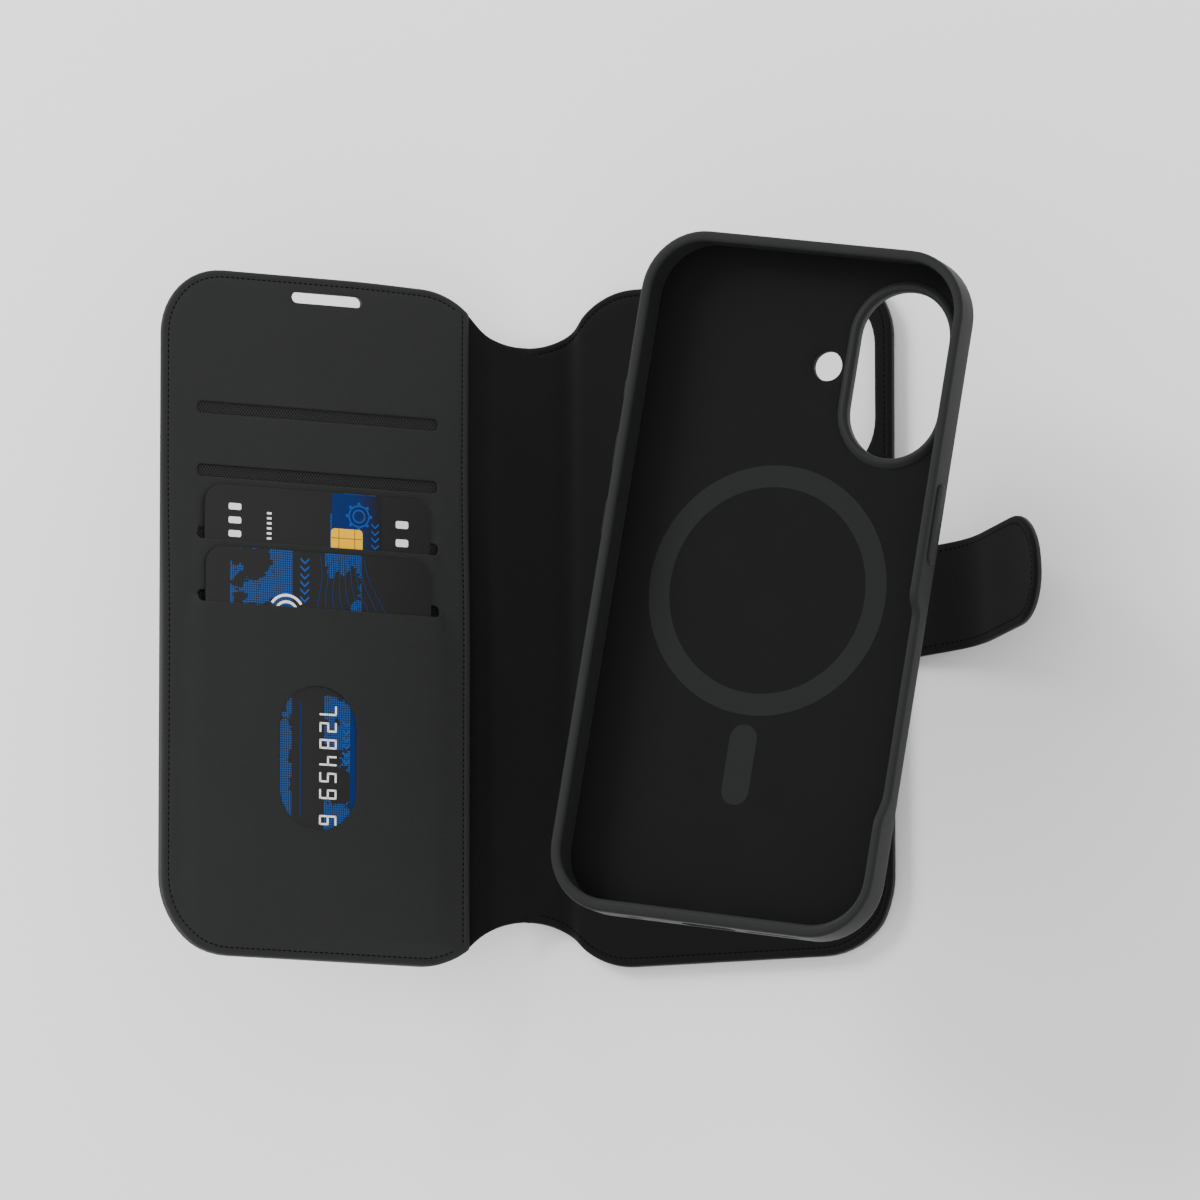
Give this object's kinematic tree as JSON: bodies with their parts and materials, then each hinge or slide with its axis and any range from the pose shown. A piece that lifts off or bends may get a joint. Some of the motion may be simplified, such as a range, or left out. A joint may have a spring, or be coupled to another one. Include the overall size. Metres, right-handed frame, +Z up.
{
  "type": "phone wallet case",
  "caption": "Folding phone wallet case in soft dark leather with card pockets, a magnetic strap, and a lift-off phone shell held by a magnet ring.",
  "frame": {"origin": "on the back leaf's outer face, under the middle of the docked magnet ring", "axes": "+X from the spine to the strap's side, +Y to the phone's top, +Z up from the back leaf"},
  "size_m": [0.1982, 0.1605, 0.0651],
  "materials": {
    "leather": "matte",
    "suede": "matte",
    "board": "matte",
    "steel": "satin",
    "mesh": "matte",
    "card": "satin",
    "shell": "matte",
    "shell_lining": "matte"
  },
  "bodies": {
    "back": {"back_skin": "leather", "back_board": "board", "back_magnet_ring": "steel", "back_lining": "suede", "strap_tail": "leather"},
    "spine": {"spine_skin": "leather", "spine_board": "board", "spine_lining": "suede"},
    "front": {"front_skin": "leather", "front_board": "board", "front_catch_plate": "steel", "pocket_mesh": "mesh", "pocket_divider": "mesh", "card_panel": "leather"},
    "upper_card": {"upper_card": "card"},
    "lower_card": {"lower_card": "card"},
    "strap_root": {"strap_root_skin": "leather", "strap_root_lining": "suede"},
    "strap_tip": {"strap_tip_skin": "leather", "strap_tip_lining": "suede", "strap_magnet": "steel"},
    "shell_carrier": {"shell_magnet_ring": "steel"},
    "shell": {"shell_frame": "shell", "shell_back": "shell", "shell_lining": "shell_lining", "camera_lip": "shell", "alignment_magnet": "steel"},
    "action_button": {"action_button": "shell"},
    "volume_up_button": {"volume_up_button": "shell"},
    "volume_down_button": {"volume_down_button": "shell"},
    "side_button": {"side_button": "shell"}
  },
  "joints": [
    {"name": "spine_fold", "type": "hinge", "parent": "back", "child": "spine", "pos_m": [-0.0409, 0, 0], "axis": [0, -1, 0], "range_deg": [-64.96, 21.54]},
    {"name": "front_fold", "type": "hinge", "parent": "spine", "child": "front", "pos_m": [-0.05913, 0, 0.0072], "axis": [0, -1, 0], "range_deg": [-71.58, 21.92]},
    {"name": "strap_root_fold", "type": "hinge", "parent": "back", "child": "strap_root", "pos_m": [0.0395, 0.00055, 0.0022], "axis": [-0.0628, 0.998, 0], "range_deg": [-75, 10]},
    {"name": "strap_tip_fold", "type": "hinge", "parent": "strap_root", "child": "strap_tip", "pos_m": [0.05699, 0.00165, 0.00529], "axis": [-0.0628, 0.998, 0], "range_deg": [-58.5, 7.8]},
    {"name": "shell_lift", "type": "slide", "parent": "back", "child": "shell_carrier", "axis": [0.4769, -0.0792, 0.8754], "range_m": [-0.05786, 0.03]},
    {"name": "shell_turn", "type": "hinge", "parent": "shell_carrier", "child": "shell", "pos_m": [0.02759, -0.00458, 0.0537], "axis": [0, 0, -1], "range_deg": [-9.87, 5.12]},
    {"name": "upper_card_slide", "type": "slide", "parent": "front", "child": "upper_card", "axis": [0, 1, 0], "range_m": [0, 0.075]},
    {"name": "lower_card_slide", "type": "slide", "parent": "front", "child": "lower_card", "axis": [0, 1, 0], "range_m": [0, 0.075]},
    {"name": "action_button_press", "type": "slide", "parent": "shell", "child": "action_button", "axis": [0.9852, -0.1714, 0], "range_m": [0, 0.0003], "stiffness_N_per_m": 700},
    {"name": "volume_up_button_press", "type": "slide", "parent": "shell", "child": "volume_up_button", "axis": [0.9852, -0.1714, 0], "range_m": [0, 0.0003], "stiffness_N_per_m": 700},
    {"name": "volume_down_button_press", "type": "slide", "parent": "shell", "child": "volume_down_button", "axis": [0.9852, -0.1714, 0], "range_m": [0, 0.0003], "stiffness_N_per_m": 700},
    {"name": "side_button_press", "type": "slide", "parent": "shell", "child": "side_button", "axis": [-0.9852, 0.1714, 0], "range_m": [0, 0.0003], "stiffness_N_per_m": 700}
  ],
  "couplings": [
    {"joint": "shell_turn", "follows": "shell_lift", "rad_per_m": 2.9773},
    {"joint": "strap_tip_fold", "follows": "strap_root_fold", "ratio": 0.78}
  ]
}
